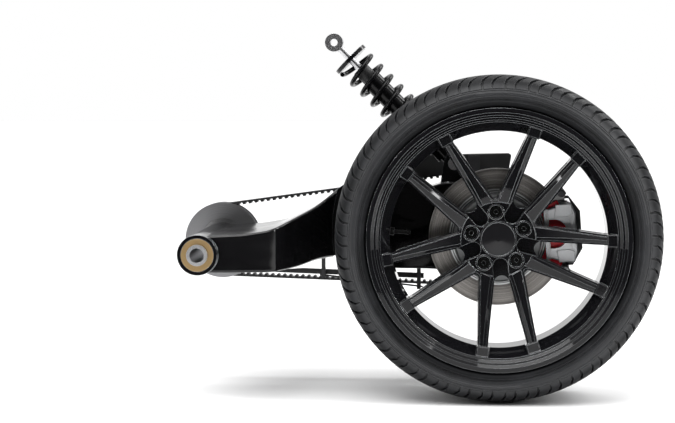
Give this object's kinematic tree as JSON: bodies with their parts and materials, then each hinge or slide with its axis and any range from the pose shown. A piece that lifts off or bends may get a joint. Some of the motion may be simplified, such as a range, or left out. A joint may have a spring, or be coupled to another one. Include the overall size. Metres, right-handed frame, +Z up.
{
  "type": "rear wheel and swing arm assembly of a three-wheeled car",
  "caption": "Single rear wheel of a three-wheeled car on its one-sided swing arm, with disc brake, toothed belt drive and coil spring shock absorber.",
  "frame": {"origin": "on the axis of the swing arm's pivot bore, in the wheel's middle plane", "axes": "+X to the car's rear, +Y to its right side along the pivot axis, +Z up"},
  "size_m": [1.0475, 0.4683, 0.7772],
  "materials": {
    "tyre_rubber": "dull black rubber",
    "wheel_gloss": "gloss black paint",
    "arm_gloss": "gloss black paint",
    "black_steel": "satin black coating",
    "bright_steel": "turned steel",
    "disc_iron": "machined friction faces",
    "cast_silver": "cast, satin silver",
    "pad_red": "red coated backing plate",
    "pad_lining": "pressed friction lining",
    "alloy": "machined alloy",
    "black_plastic": "moulded black plastic",
    "cap_plastic": "gloss black plastic",
    "belt_rubber": "moulded belt, matt black",
    "rubber": "soft black rubber",
    "spring_black": "powder coated black",
    "bronze": "sintered bronze"
  },
  "bodies": {
    "root": {"swing_arm": "arm_gloss", "clamp_bolts": "black_steel", "pivot_bushes": "bronze", "pivot_sleeve": "bright_steel", "pulley_housing": "alloy", "pulley_bearing": "bright_steel", "hub_carrier": "alloy", "wheel_bearings": "bright_steel", "caliper_bracket": "black_steel", "caliper_body": "cast_silver", "caliper_pistons": "bright_steel", "pad_linings": "pad_lining", "pad_backings": "pad_red", "guide_pins": "bright_steel", "drive_belt": "belt_rubber", "upper_belt_guard": "black_plastic", "lower_belt_guard": "black_plastic", "guard_brackets": "black_steel", "shock_body": "black_steel", "shock_rod": "bright_steel", "spring_seat_low": "black_steel", "spring_seat_high": "black_steel", "shock_spring": "spring_black", "bump_stop": "rubber", "shock_bolt": "bright_steel"},
    "wheel": {"tyre": "tyre_rubber", "rim": "wheel_gloss", "lug_nuts": "black_steel", "centre_cap": "cap_plastic", "valve_stem": "rubber", "wheel_hub": "bright_steel", "axle": "bright_steel", "axle_nut": "black_steel", "axle_spacer": "bright_steel", "disc_ring": "disc_iron", "disc_hat": "alloy", "rear_pulley": "alloy"},
    "drive": {"front_pulley": "alloy", "drive_coupling": "black_steel"}
  },
  "joints": [
    {"name": "wheel_spin", "type": "hinge", "parent": "root", "child": "wheel", "pos_m": [0.62, 0, 0.032], "axis": [0, 1, 0], "continuous": true},
    {"name": "drive_spin", "type": "hinge", "parent": "root", "child": "drive", "pos_m": [0, 0, 0], "axis": [0, 1, 0], "continuous": true}
  ],
  "couplings": [
    {"joint": "drive_spin", "follows": "wheel_spin", "ratio": 1.6667}
  ]
}
